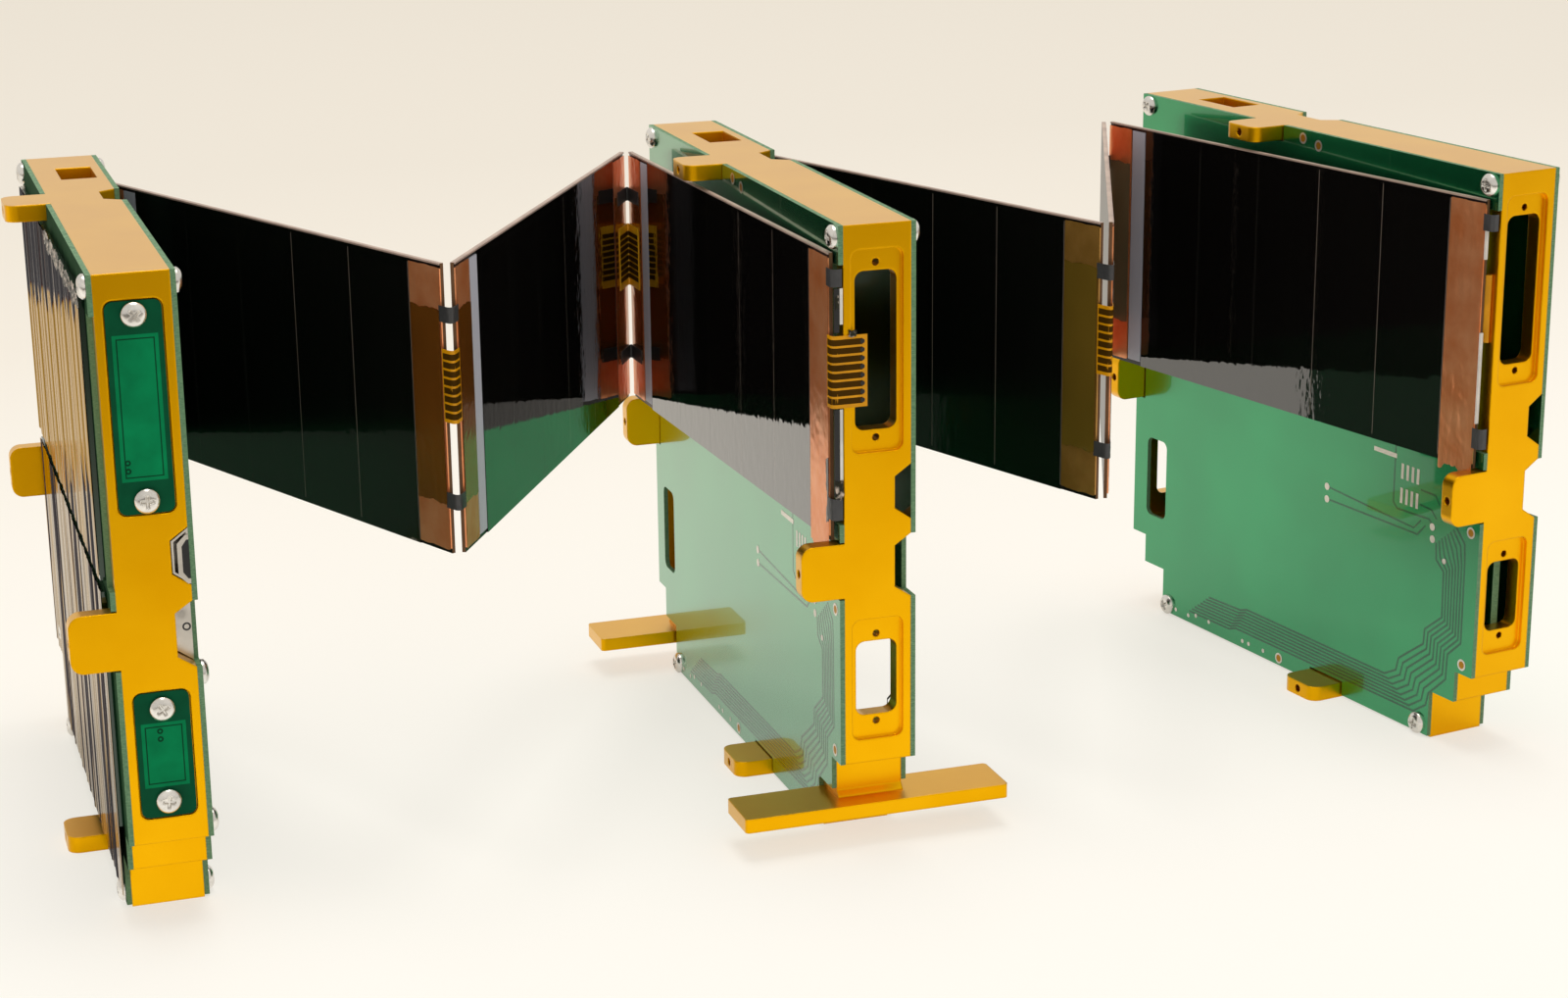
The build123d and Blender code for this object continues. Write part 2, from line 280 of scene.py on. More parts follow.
def gold_material():
    """Gold-coloured anodising on blasted aluminium: round edges, and a pale, yellower haze at low angles."""
    material, tree, shader = new_material("gold_anodising", (0.95, 0.47, 0.002), 0.36, metallic=1.0)
    tint(tree, shader, noise(tree, 60, 3), (0.92, 0.445, 0.001), (0.98, 0.50, 0.003))
    haze = ramp(tree, facing(tree), ((0.45, 0.0), (0.72, 0.82)))
    connect(tree, shader, {"Coat Weight": haze, "Coat Roughness": 0.35, "Coat Tint": (0.965, 1.0, 0.93, 1)})
    add_bump(tree, shader, ((noise(tree, 5200, 2), 0.35),), 0.00003, edge_radius=0.00045)
    return material


def grained(name, color, roughness, tones, grain=None, **extras):
    """A material that runs between two tones by a noise, with another noise as its bump.

    Tones are the noise's values, dark, pale, low, high; grain is the noise's values, strength, distance.
    """
    material, tree, shader = new_material(name, color, roughness, **extras)
    tint(tree, shader, noise(tree, *tones[0]), *tones[1:])
    if grain:
        add_bump(tree, shader, ((noise(tree, *grain[0]), grain[1]),), grain[2])
    return material


def board_material(name, share, coat_ior=1.62):
    """Green resist over a plane of copper: a dull green mirror under a clear glossy coat."""
    color = tuple(value * share for value in RESIST)
    dark, pale = (tuple(part * value for value in color) for part in (0.92, 1.08))
    return grained(name, color, 0.26, ((45, 2), dark, pale), ((900, 2), 0.12, 0.00002),
                   metallic=0.92, coat=1.0, coat_ior=coat_ior)


def cell_material(name, color):
    """Solar cells under clear film, whose gloss grows fast towards low angles, with upright ripples."""
    material, tree, shader = new_material(name, color, 0.03, 0.0, 1.0, 1.33, 2.2)
    gloss = ramp(tree, facing(tree), ((0.20, 0.15), (0.28, 0.75), (0.48, 0.75), (0.68, 0.95)))
    connect(tree, shader, {"Coat Weight": gloss})
    ripple, teeth, upright = noise(tree, 260, 2), noise(tree, 480, 1), noise(tree, 520, 3, (1, 1, 0.40))
    add_bump(tree, shader, ((ripple, 0.10), (teeth, 0.38), (upright, 0.75)), 0.00004, coat=True)
    return material


def copper_material(name, dark, pale):
    """Crinkled copper foil tape between two tones."""
    return grained(name, pale, 0.30, ((160, 4), dark, pale), ((420, 4, (1, 1, 0.6)), 0.8, 0.00018),
                   metallic=0.62)


def plain(name, color, roughness, metallic=0.0, coat=0.0, grain=1200, ior=1.5):
    """A simple finish with a fine grain and a slight change of tone."""
    dark = tuple(0.82 * value for value in color)
    pale = tuple(min(1.0, 1.15 * value) for value in color)
    return grained(name, color, roughness, ((grain / 6, 3), dark, pale), ((grain, 2), 0.2, 0.00005),
                   metallic=metallic, coat=coat, ior=ior)


def film_material():
    """Film over the outer solar cells: dark from the front, a tinted mirror at low angles.

    Its tone attribute gives the tint, from black over tan to silver, and how far it mirrors at all: a painted
    reflection, whose dark, tan and silver streaks stand in for what the film mirrors.
    """
    material, tree, shader = new_material("outer_film_painted_reflection", (0.06, 0.06, 0.07), 0.09, metallic=1.0, ior=1.005)
    tone = add_node(tree, "Attribute", {}, "Fac")
    tone.node.attribute_name = "tone"
    reflection_tints = ((0.0, (0.10, 0.06, 0.07)), (0.32, (0.30, 0.18, 0.16)), (0.62, (1.0, 0.68, 0.29)),
             (1.0, (1.0, 0.92, 0.82)))
    connect(tree, shader, {
        "Specular Tint": ramp(tree, tone, reflection_tints),
        "Metallic": ramp(tree, tone, ((0.0, 0.0), (0.45, 1.0))),
    })
    tint(tree, shader, noise(tree, 40, 2), (0.050, 0.050, 0.058), (0.068, 0.068, 0.078))
    add_bump(tree, shader, ((noise(tree, 900, 2, (1, 1, 0.15)), 0.15),), 0.00006)
    return material


GOLD = gold_material()
BOARD = board_material("green_board", 1.0)
PALE_BOARD = board_material("pale_green_board", 1.0, 1.70)
DEEP_BOARD = board_material("deep_green_board", 1.0, 1.50)
# The next three boards are darker copies of the one green resist: painted shade for faces that get little
# light.
HALF_SHADE_BOARD = board_material("half_shade_green_board", 0.18, 1.42)
PAINTED_SHADE_BOARD = board_material("painted_shade_green_board", 0.10)
SHADED_BOARD = plain("shaded_board", (0.030, 0.075, 0.036), 0.6, ior=1.03)
EDGE = grained("board_edge", (0.12, 0.27, 0.13), 0.6,
               ((1500, 3, (1, 1, 8)), (0.05, 0.16, 0.07), (0.20, 0.36, 0.19)))
CELL = cell_material("solar_cell", (0.0045, 0.0038, 0.0034))
# The two gap materials are painted glints of the cell edges, one pale and one dim.
GAP_GLINT = cell_material("cell_gap_glint", (0.21, 0.17, 0.145))
FAINT_GAP_GLINT = cell_material("faint_cell_gap_glint", (0.045, 0.040, 0.036))
COPPER = copper_material("copper_foil", (0.86, 0.27, 0.09), (1.0, 0.43, 0.20))
BROWN_COPPER = copper_material("brown_copper_foil", (0.40, 0.20, 0.035), (0.58, 0.30, 0.07))
BUS = grained("bus_strip", (0.56, 0.57, 0.66), 0.40,
              ((90, 3, (1, 1, 0.3)), (0.50, 0.51, 0.59), (0.62, 0.63, 0.73)),
              ((700, 2, (1, 1, 0.05)), 0.2, 0.00003))
PAINTED_REFLECTION_FILM = film_material()
STEEL = plain("screw_steel", (0.80, 0.77, 0.72), 0.24, metallic=1.0, grain=2600)
SHELL = plain("port_shell", (0.62, 0.58, 0.52), 0.30, metallic=1.0)
# The silver's sharp dark and pale patches are painted reflections and glints of the crinkles, on tape and
# solder alike.
SILVER_PAINTED_GLINTS = grained("silver_tape_painted_glints", (0.5, 0.45, 0.4), 0.28,
                 ((650, 3), (0.030, 0.030, 0.020), (0.62, 0.52, 0.44), 0.49, 0.62),
                 ((700, 3), 0.9, 0.0001), metallic=0.3, ior=1.2)
WHITE = plain("white_insulation", (0.80, 0.78, 0.73), 0.45)
DARK = plain("dark_plastic", (0.012, 0.012, 0.012), 0.4)
STRAP = plain("strap_tape", (0.050, 0.050, 0.052), 0.42)
FLEX = plain("amber_film", (0.74, 0.32, 0.004), 0.26, ior=1.3)
# A paler copy of the amber film for the inner folds: painted glow of light through it from behind.
BACKLIT_GLOW_FLEX = plain("backlit_glow_amber_film", (1.0, 0.52, 0.02), 0.26, ior=1.3)
BAR = plain("flex_conductor", (0.062, 0.028, 0.002), 0.45, ior=1.1)
BACK = plain("panel_back", (0.006, 0.005, 0.005), 0.30)
RIM = plain("panel_rim", (0.52, 0.40, 0.33), 0.5)
END = plain("panel_end", (0.16, 0.085, 0.045), 0.5, ior=1.1)
BORDER = plain("cell_border", (0.46, 0.33, 0.27), 0.40)
AMBER_FILM = plain("brown_film", (0.50, 0.165, 0.022), 0.16, metallic=0.75, coat=0.6, grain=300)
GOLDEN_FILM = plain("golden_film", (0.33, 0.20, 0.025), 0.20, metallic=0.6, coat=0.5, grain=300)
OLIVE_FILM = plain("olive_film", (0.19, 0.155, 0.085), 0.34, metallic=0.2, coat=0.2, grain=300)
COVER = plain("cover_board", (0.0016, 0.085, 0.035), 0.45, ior=1.15)
COVER_FIELD = plain("cover_field", (0.002, 0.225, 0.080), 0.45, ior=1.12)
COVER_LINE = plain("cover_line", (0.001, 0.055, 0.022), 0.45, ior=1.15)
TRACE = plain("board_trace", (0.008, 0.120, 0.050), 0.28, metallic=0.75, coat=1.0)
TIN = plain("tinned_pad", (0.78, 0.74, 0.66), 0.30, metallic=0.8)
# Hole floors: a darker copy of the gold, painted shade inside the holes.
SHADED_HOLE_GOLD = plain("shaded_hole_gold", (0.52, 0.24, 0.015), 0.4, metallic=0.8)
GLUE = plain("dark_glue", (0.020, 0.014, 0.008), 0.25, coat=0.5)


def paint(node, *materials, place=None, out=0):
    """Materials on a node of the model.

    With a place they are for its broad faces, top and bottom, ends, and broad faces that look against out.
    """
    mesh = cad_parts[node].data
    mesh.materials.clear()
    for material in materials:
        mesh.materials.append(material)
    slots = np.zeros(len(mesh.polygons), int)
    if place:
        normals = np.array([polygon.normal for polygon in mesh.polygons])
        across, upright = normals @ place.x, np.abs(normals @ UP)
        slots = np.where(np.abs(across) > 0.7, 0, np.where(upright > 0.7, 1, 2))
        slots = np.where(out * across < -0.7, 3, slots)
    mesh.polygons.foreach_set("material_index", slots)


PLAIN_NODES = {
    "middle_rail_near": GOLD, "middle_rail_far": GOLD, "left_covers": COVER, "left_ports": SHELL,
    # The outer panels under the films take the darkened board: painted shade.
    "left_outer_upper": PAINTED_SHADE_BOARD, "left_outer_lower": PAINTED_SHADE_BOARD,
}
FOILS = {"d": BROWN_COPPER}
FILMS = {"d": GOLDEN_FILM, "f": OLIVE_FILM}
# The side and dark boards here are painted shade on the faces that turn away from the light.
BOARD_FACES = {
    # outer face, inner face
    "left_board_left": (SHADED_BOARD, SHADED_BOARD),
    "left_board_right": (HALF_SHADE_BOARD, PAINTED_SHADE_BOARD),
    "middle_board_left": (PALE_BOARD, PALE_BOARD),
    "middle_board_right": (HALF_SHADE_BOARD, PAINTED_SHADE_BOARD),
    "right_board_left": (DEEP_BOARD, DEEP_BOARD),
    "right_board_right": (BOARD, BOARD),
}


def paint_nodes():
    """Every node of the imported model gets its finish."""
    for name, place in SATELLITES.items():
        paint(name + "_frame", GOLD)
        for side, out in (("left", -1), ("right", 1)):
            node = name + "_board_" + side
            outer, inner = BOARD_FACES[node]
            paint(node, outer, EDGE, EDGE, inner, place=place, out=out)
    for letter, place in PANELS.items():
        name = "panel_" + letter
        paint(name + "_board", BACK, RIM, END, place=place)
        paint(name + "_cells", CELL)
        paint(name + "_bus", BUS)
        paint(name + "_copper", FOILS.get(letter, COPPER))
    paint("right_inner_board", BOARD, EDGE, EDGE, place=SATELLITES["right"])
    for node, material in PLAIN_NODES.items():
        paint(node, material)


# Screws
SCREW_RADIUS = 2.1
SCREW_HEIGHT = 1.25
RECESS_REACH = 1.15
RECESS_HALF = 0.24
RECESS_DEPTH = 0.55
SCREW_SPIN = 0.7


def screw_head():
    """A pan head with a cross recess.

    The height over the seat falls with the fourth power of the radius, and the recess is sunk by a depth
    that fades out past the reach and the half width of each arm of the cross.
    """
    radii = np.concatenate((np.linspace(0, 0.93, 20), (0.965, 0.99, 1.0))) * SCREW_RADIUS
    angles = np.linspace(0, 2 * math.pi, 64, endpoint=False)
    radius, angle = np.meshgrid(radii, angles, indexing="ij")
    u, v = radius * np.cos(angle), radius * np.sin(angle)
    height = SCREW_HEIGHT * (1 - 0.62 * (radius / SCREW_RADIUS) ** 4)

    def arm(along, across):
        side = np.clip((RECESS_HALF + 0.06 - np.abs(across)) / 0.12, 0, 1)
        end = np.clip((RECESS_REACH - np.abs(along)) / 0.25, 0, 1)
        return side * end

    height = height - RECESS_DEPTH * np.maximum(arm(u, v), arm(v, u))
    top = np.stack((u, v, height), -1).reshape(-1, 3)
    skirt = np.stack((u[-1], v[-1], 0 * u[-1]), -1)
    points = np.concatenate((top, skirt))
    return points, grid_faces(len(radii) + 1, len(angles), wrap=True)


HEAD = screw_head()


def turned(points, outward, spin):
    """A head drawn along +Z, turned so that it points along X or Y of a place, and moved nowhere."""
    cos, sin = math.cos(spin), math.sin(spin)
    u = points[:, 0] * cos - points[:, 1] * sin
    v = points[:, 0] * sin + points[:, 1] * cos
    w = points[:, 2]
    axes = {"-x": (-w, v, u), "+x": (w, v, -u), "-y": (u, -w, v)}
    return np.stack(axes[outward], -1)


def add_screws(name, place, spots):
    """Screw heads at spots of X, Y, Z and outward direction."""
    heads = []
    for index, (x, y, z, outward) in enumerate(spots):
        faces = HEAD[1] if outward == "+x" else HEAD[1][:, ::-1]
        heads.append((turned(HEAD[0], outward, SCREW_SPIN * index) + (x, y, z), faces))
    add_piece(name, place, join(heads), STEEL, "steel", smooth=True)


TOP_SCREWS = 111.4
LOW_SCREWS = 2.3
BOARD_SCREWS = (
    # distance from the near edge, height
    (2.4, TOP_SCREWS),
    (RING_SIDE - 2.6, TOP_SCREWS),
    (15.0, LOW_SCREWS),
    (RING_SIDE - 14.0, LOW_SCREWS),
)
EXTRA_SCREWS = ((2.4, 44.6), (3.0, 17.9))
COVER_SCREWS = (
    # height of the middle of a pair, its spacing
    (91.3, 31.0),
    (31.6, 16.4),
)


def add_all_screws():
    """Screws at the corners of every board, and on the covers of the left satellite."""
    right_face = RING_DEPTH + BOARD_THICK
    for name, place in SATELLITES.items():
        left = [(-BOARD_THICK, y, z, "-x") for y, z in BOARD_SCREWS]
        right = [(right_face, y, z, "+x") for y, z in BOARD_SCREWS]
        add_screws(name + "_board_screws", place, left + right)
    place = SATELLITES["left"]
    extra = [(right_face, y, z, "+x") for y, z in EXTRA_SCREWS]
    add_screws("left_extra_screws", place, extra + [(-BOARD_THICK, 101.1, 21.7, "-x")])
    spots = [(RING_DEPTH / 2, -0.1, z + end * spacing / 2, "-y")
             for z, spacing in COVER_SCREWS for end in (-1, 1)]
    add_screws("left_cover_screws", place, spots)


# Panels: which way the front faces, and what lies on it
TOWARD = {"a": -1, "b": 1, "c": -1, "d": -1, "e": 1, "f": -1}
PANEL_BOARD = PANELS["a"].thick
PANEL_LONG = PANELS["a"].long
PANEL_LOW, PANEL_HIGH = PANELS["a"].low, PANELS["a"].high
SKIN = 0.25
PIN_FROM_END = 1.0
COPPER_BUS_END = 7.4
COPPER_PLAIN_END = 8.9


def front_x(letter, lift):
    """Where a thing that stands off a panel's front by a lift lies across the panel."""
    return -SKIN - lift if TOWARD[letter] < 0 else PANEL_BOARD + SKIN + lift


def from_bus_end(letter, distance):
    """The place along a panel of a distance from its bus end."""
    return distance if TOWARD[letter] > 0 else PANEL_LONG - distance


def crumple(u, v, seed, ridges=9):
    """Creases of thin foil: the mean of ridges, each sharp along lines of its own random direction."""
    random = np.random.default_rng(seed)
    height = np.zeros(np.broadcast(u, v).shape)
    for _ in range(ridges):
        angle, wave, phase = random.uniform(0, math.pi), random.uniform(0.5, 2.2), random.uniform(0, 6.3)
        height += (1 - np.abs(np.sin(wave * (u * math.cos(angle) + v * math.sin(angle)) + phase))) ** 3
    return height / ridges


def wave(line, seed, longest):
    """A smooth random line: five sine waves, each half as long as the one before."""
    random = np.random.default_rng(seed)
    waves = [np.sin(line * 2 ** k * 2 * math.pi / longest + random.uniform(0, 6.3)) / 2 ** k
             for k in range(5)]
    return sum(waves) / 2


def add_foil(name, letter, start, end, low, high, material, lift, rough, seed, ragged=(0, 0)):
    """A foil on a panel's front, between two distances from its bus end.

    Its height over the skin is a lift plus a share of the creases, and its low and high ends wave by the
    two ragged depths.
    """
    along, up = np.meshgrid(start + (end - start) * np.linspace(0, 1, 26), np.linspace(0, 1, 110))
    bottom = low + ragged[0] * wave(along, seed, 6.0)
    top = high + ragged[1] * wave(along, seed + 1, 6.0)
    z = bottom + (top - bottom) * up
    edge = np.minimum(np.minimum(along - min(start, end), max(start, end) - along), 0.5) / 0.5
    height = lift + rough * crumple(along, z, seed) * (0.35 + 0.65 * edge)
    shape = grid(front_x(letter, 0) + TOWARD[letter] * height, from_bus_end(letter, along), z)
    add_piece(name, PANELS[letter], shape, material, "copper", smooth=True)


FILM_ENDS = (66.5, 100.8)
TORN_ENDS = {
    # how far the copper hangs below the panel, how deep its end is torn
    "c": (2.4, 0.9),
    "f": (0.9, 1.1),
}


def add_panel_fronts():
    """Foil over the copper ends, film over its middle, and pale lines between the cells, painted glints of
    their edges.
    """
    for seed, letter in enumerate("abcdef"):
        name = "panel_" + letter
        far_end = PANEL_LONG - COPPER_PLAIN_END
        hang, torn = TORN_ENDS.get(letter, (-0.7, 0.15))
        low = PANEL_LOW - hang
        foil, film = FOILS.get(letter, COPPER), FILMS.get(letter, AMBER_FILM)
        add_foil(name + "_foil_plain", letter, far_end + 0.1, PANEL_LONG - 0.1, low, PANEL_HIGH - 0.7,
                 foil, 0.03, 0.22, 10 * seed, (torn, 0.1))
        add_foil(name + "_foil_bus", letter, 0.1, COPPER_BUS_END - 0.1, PANEL_LOW + 0.7, PANEL_HIGH - 0.7,
                 foil, 0.03, 0.16, 10 * seed + 3, (0.1, 0.1))
        add_foil(name + "_film_bus", letter, 0.25, COPPER_BUS_END - 0.2, *FILM_ENDS,
                 film, 0.15, 0.07, 10 * seed + 5, (0.3, 0.3))
        if letter not in "cf":
            add_foil(name + "_film_plain", letter, far_end + 0.3, PANEL_LONG - 0.3, *FILM_ENDS,
                     film, 0.19, 0.07, 10 * seed + 7, (0.3, 0.3))
        add_cell_gaps(letter)


BUS_START = COPPER_BUS_END + 0.35
CELLS_START = BUS_START + 4.0 + 0.35
CELL_PITCH = (PANEL_LONG - COPPER_PLAIN_END - CELLS_START) / 5
GAP_MIDDLE = 0.175


def add_cell_gaps(letter):
    """One clear film over all cells of a panel, a thin line over each gap, and one along the top edge. The gap
    lines are painted glints of the cell edges, dim on gaps 1 and 2 and pale on gaps 3 to 5.
    """

    def sheet(lift, start, end, low, high):
        x = sorted((front_x(letter, -SKIN), front_x(letter, lift)))
        y = sorted((from_bus_end(letter, start), from_bus_end(letter, end)))
        return box_mesh((x[0], y[0], low), (x[1], y[1], high))

    def line(index, half):
        middle = CELLS_START + index * CELL_PITCH - GAP_MIDDLE
        return sheet(0.02, middle - half, middle + half, PANEL_LOW + 0.9, PANEL_HIGH - 0.9)

    cells_end = PANEL_LONG - COPPER_PLAIN_END - 0.05
    film = sheet(0.015, CELLS_START, cells_end, PANEL_LOW + 0.02, PANEL_HIGH - 0.30)
    border = sheet(-0.01, 0.1, PANEL_LONG - 0.1, PANEL_HIGH - 0.30, PANEL_HIGH - 0.02)
    groups = (("film", [film], CELL),
              ("faint_gap_glint_lines", [line(index, 0.05) for index in (1, 2)], FAINT_GAP_GLINT),
              ("gap_glint_lines", [line(index, 0.08) for index in (3, 4, 5)], GAP_GLINT),
              ("border_line", [border], BORDER))
    for label, pieces, material in groups:
        add_piece("panel_" + letter + "_" + label, PANELS[letter], join(pieces), material, "bus")


# Folds: straps and flat cables that bend over each hinge
STRAP_THICK = 0.12
STRAP_OFF = STRAP_THICK / 2 + 0.02
FOLDS = (
    # name, first body, second body, kind, reach of straps and cable from the pin, land of the straps
    ("left_a", "left", "a", "far", 1.6, 1.8, 0.5),
    ("a_b", "a", "b", "outer", 1.45, 1.05, 0.0),
    ("b_c", "b", "c", "inner", 7.6, 7.2, 0.0),
    ("c_middle", "c", "middle", "near", 1.5, 1.2, -0.3),
    ("middle_d", "middle", "d", "far", 1.6, 1.8, 0.5),
    ("d_e", "d", "e", "outer", 1.45, 1.05, 0.0),
    ("e_f", "e", "f", "inner", 1.6, 1.35, 0.0),
    ("f_right", "f", "right", "near", 1.3, 3.0, -0.7),
)
CABLE_LAND = 4.3
OVER_FILM = 0.28
STRIPS = (
    # node, centre height and width between panels, the same at a satellite
    ("straps", (100.2, 2.8), (104.7, 3.1)),
    ("straps", (67.3, 2.8), (63.6, 3.9)),
    ("cable", (87.7, 12.8), (88.2, 12.8)),
)
STRAP_CREASES = (7, 0.25)
CABLE_CREASES = (9, 0.12)
BAR_COUNT = 8
BAR_HALF = 0.36
BAR_OVER = 0.06
WIDE_BAR_OVER = 0.16
WIDE_MARGIN = 1.0
BAR_ENDS = {"near": (0.3, 0.9), "far": (0.9, 0.3)}
DOT_RADIUS = 0.42
NEAR_EDGE_STRIPS = (
    # across, low and high height of the strips beside the middle satellite's near corner, colour
    ((-0.70, -0.15), (96.6, 102.9), "white"),
    ((-0.75, -0.20), (68.9, 81.6), "white"),
    ((-1.75, -0.80), (95.2, 102.9), "black"),
    ((-1.75, -0.85), (66.0, 81.6), "black"),
)
PANEL_END_STRIPS = ((97.7, 103.2), (66.4, 83.8))
BEND_RADIUS = {"far": 0.35, "outer": 1.3, "inner": 0.3, "near": 1.0, "hidden": 0.4}


def panel_line(letter, fold_end, reach, lift=STRAP_OFF):
    """Two plan points on a strip's line along a panel's front: its end, and the point abreast of the pin."""
    x = front_x(letter, lift)
    pin = -PIN_FROM_END if fold_end == "near" else PANEL_LONG + PIN_FROM_END
    arm = reach if fold_end == "near" else -reach
    return PANELS[letter].world([(x, pin + arm, 0), (x, pin, 0)])[:, :2] / MM


def meeting(first, second):
    """The point where the lines through two pairs of points meet."""
    along, across, gap = first[1] - first[0], second[1] - second[0], second[0] - first[0]
    share = (gap[0] * across[1] - gap[1] * across[0]) / (along[0] * across[1] - along[1] * across[0])
    return first[0] + along * share


def fold_line(first, second, kind, reach, land):
    """The corners of a strip's line seen from above, from its first body to its second."""
    if kind == "far":
        far = RING_SIDE + STRAP_OFF
        edge = [(RING_DEPTH + STRAP_OFF, far, 0), (RING_DEPTH - land, far, 0)]
        corner, end = SATELLITES[first].world(edge)[:, :2] / MM
        ends = panel_line(second, "far", reach)
        return [end, corner, ends[1], ends[0]]
    if kind == "hidden":
        back = PANEL_BOARD + STRAP_OFF
        panel = PANELS[first].world([(back, reach - PIN_FROM_END, 0), (back, 0.5, 0)])
        ring = SATELLITES[second].world([(-STRAP_OFF, 1.0, 0), (-STRAP_OFF, reach, 0)])
        return list(np.concatenate((panel, ring))[:, :2] / MM)
    if kind == "near":
        edge = [(land, -STRAP_OFF, 0), (0, -STRAP_OFF, 0)]
        line = SATELLITES[second].world(edge)[:, :2] / MM
        ends = panel_line(first, "near", reach)
        return [ends[0], meeting(ends, line), line[0]]
    side, lift = ("near", STRAP_OFF) if kind == "outer" else ("far", OVER_FILM)
    one, two = (panel_line(letter, side, reach, lift) for letter in (first, second))
    return [one[0], meeting(one, two), two[0]]


def rounded(corners, radius, steps=9):
    """A line with each corner replaced by an arc that starts and ends as far from the corner as fits."""
    line = [corners[0]]
    for before, corner, after in zip(corners, corners[1:], corners[2:]):
        back, ahead = before - corner, after - corner
        room = 0.48 * min(np.hypot(*back), np.hypot(*ahead))
        back, ahead = back / np.hypot(*back), ahead / np.hypot(*ahead)
        half = math.acos(np.clip(back @ ahead, -1, 1)) / 2
        reach = min(room, radius / max(math.tan(half), 0.05))
        for share in np.linspace(0, 1, steps):
            start, end = corner + back * reach, corner + ahead * reach
            line.append((1 - share) ** 2 * start + 2 * share * (1 - share) * corner + share ** 2 * end)
    line.append(corners[-1])
    return np.array(line)


def resampled(line, start, end, steps=28):
    """The same line at even steps, without a length at its start and at its end."""
    passed = np.concatenate(([0], np.cumsum(np.hypot(*np.diff(line, axis=0).T))))
    spots = np.linspace(start, passed[-1] - end, steps)
    return np.stack([np.interp(spots, passed, line[:, axis]) for axis in (0, 1)], 1)


def normals_along(line):
    """Unit normals of a plan line, to the left of its run."""
    run = np.gradient(line, axis=0)
    run /= np.hypot(run[:, 0], run[:, 1])[:, None]
    return np.stack((-run[:, 1], run[:, 0]), 1)


def strip_mesh(line, thick, low, high, rows=2, slack=0.0, seed=0):
    """A thin upright strip: the line offset to both sides by half its thickness, between two heights.

    With slack, the strip stands off its line by creases that fade out towards both ends.
    """
    normal = normals_along(line)
    loop = np.concatenate((line + normal * thick / 2, (line - normal * thick / 2)[::-1]))
    away = np.concatenate((normal, normal[::-1]))
    count = len(loop)
    passed = np.concatenate((np.linspace(0, 1, len(line)), np.linspace(1, 0, len(line))))
    points = []
    for z in np.linspace(low, high, rows):
        shift = slack * np.sin(math.pi * passed) * (crumple(passed * 6, z, seed) - 0.3)
        points.append(np.column_stack((loop + away * shift[:, None], np.full(count, z))))
    faces = [tuple(face) for face in grid_faces(rows, count, wrap=True)]
    top = (rows - 1) * count
    for index in range(len(line) - 1):
        other = count - 1 - index
        faces.append((index + 1, index, other, other - 1))
        faces.append((top + index, top + index + 1, top + other - 1, top + other))
    return np.concatenate(points) * MM, faces


def solder_dots(line, end, middle):
    """A dot on both faces of a cable at one end of its line, the first or the last."""
    away = normals_along(line)[end]
    run = line[end] - line[1 if end == 0 else -2]
    angle = np.linspace(0, 2 * math.pi, 12, endpoint=False)[:, None]
    spot = line[end] + run / np.hypot(*run) * DOT_RADIUS * np.cos(angle)
    dots = []
    for side in (-1, 1):
        flat = spot + side * away * (STRAP_THICK / 2 + 0.05)
        disc = np.column_stack((flat, middle + DOT_RADIUS * np.sin(angle)))
        dots.append((disc * MM, [tuple(range(len(angle)))]))
    return dots


def conductors(line, shape, low, width):
    """The bars side by side in a flat cable, and dots at their ends where they meet a satellite."""
    margin, over = (WIDE_MARGIN, WIDE_BAR_OVER) if shape == "inner" else (0.0, BAR_OVER)
    pitch = (width - 2 * margin) / (BAR_COUNT + 0.6)
    line = resampled(line, *BAR_ENDS.get(shape, (0.3, 0.3)))
    bars, dots = [], []
    for index in range(BAR_COUNT):
        middle, half = low + margin + (index + 0.8) * pitch, BAR_HALF * pitch
        bars.append(strip_mesh(line, STRAP_THICK + over, middle - half, middle + half))
        if shape in BAR_ENDS:
            dots += solder_dots(line, 0 if shape == "far" else -1, middle)
    return bars, dots


def add_fold(fold, seed):
    """The straps and the flat cable with its conductors over one hinge, each bent round it."""
    name, first, second, kind, strap_reach, cable_reach, strap_land = fold
    straps, cable, bars, dots = [], [], [], []
    for node, between, at_satellite in STRIPS:
        height, width = at_satellite if kind in ("far", "near") else between
        shape = "hidden" if node == "cable" and name == "f_right" else kind
        reach, land = (strap_reach, strap_land) if node == "straps" else (cable_reach, CABLE_LAND)
        corners = fold_line(first, second, shape, reach, land)
        line = resampled(rounded(corners, BEND_RADIUS[shape]), 0, 0)
        low, high = height - width / 2, height + width / 2
        if node == "straps":
            straps.append(strip_mesh(line, STRAP_THICK, low, high, *STRAP_CREASES, seed + len(straps)))
            continue
        cable.append(strip_mesh(line, STRAP_THICK, low, high, *CABLE_CREASES, seed))
        if shape != "hidden":
            bars, dots = conductors(line, shape, low, width)
    # Inner folds take the paler amber: painted backlight.
    film = BACKLIT_GLOW_FLEX if kind == "inner" else FLEX
    for node, pieces, material, slot in (("straps", straps, STRAP, "strap"), ("cable", cable, film, "flex")):
        thing = add_mesh(node + "_strip_" + name, *join(pieces), None, material, slot)
        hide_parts(node + "_" + name)
        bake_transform(thing)
    if bars:
        thing = add_mesh("conductors_" + name, *join(bars), None, BAR, "flex")
        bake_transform(thing)
    if dots:
        satellite = first if first in SATELLITES else second
        add_mesh("solder_holes_" + name, *join(dots), satellite, DARK, "flex")


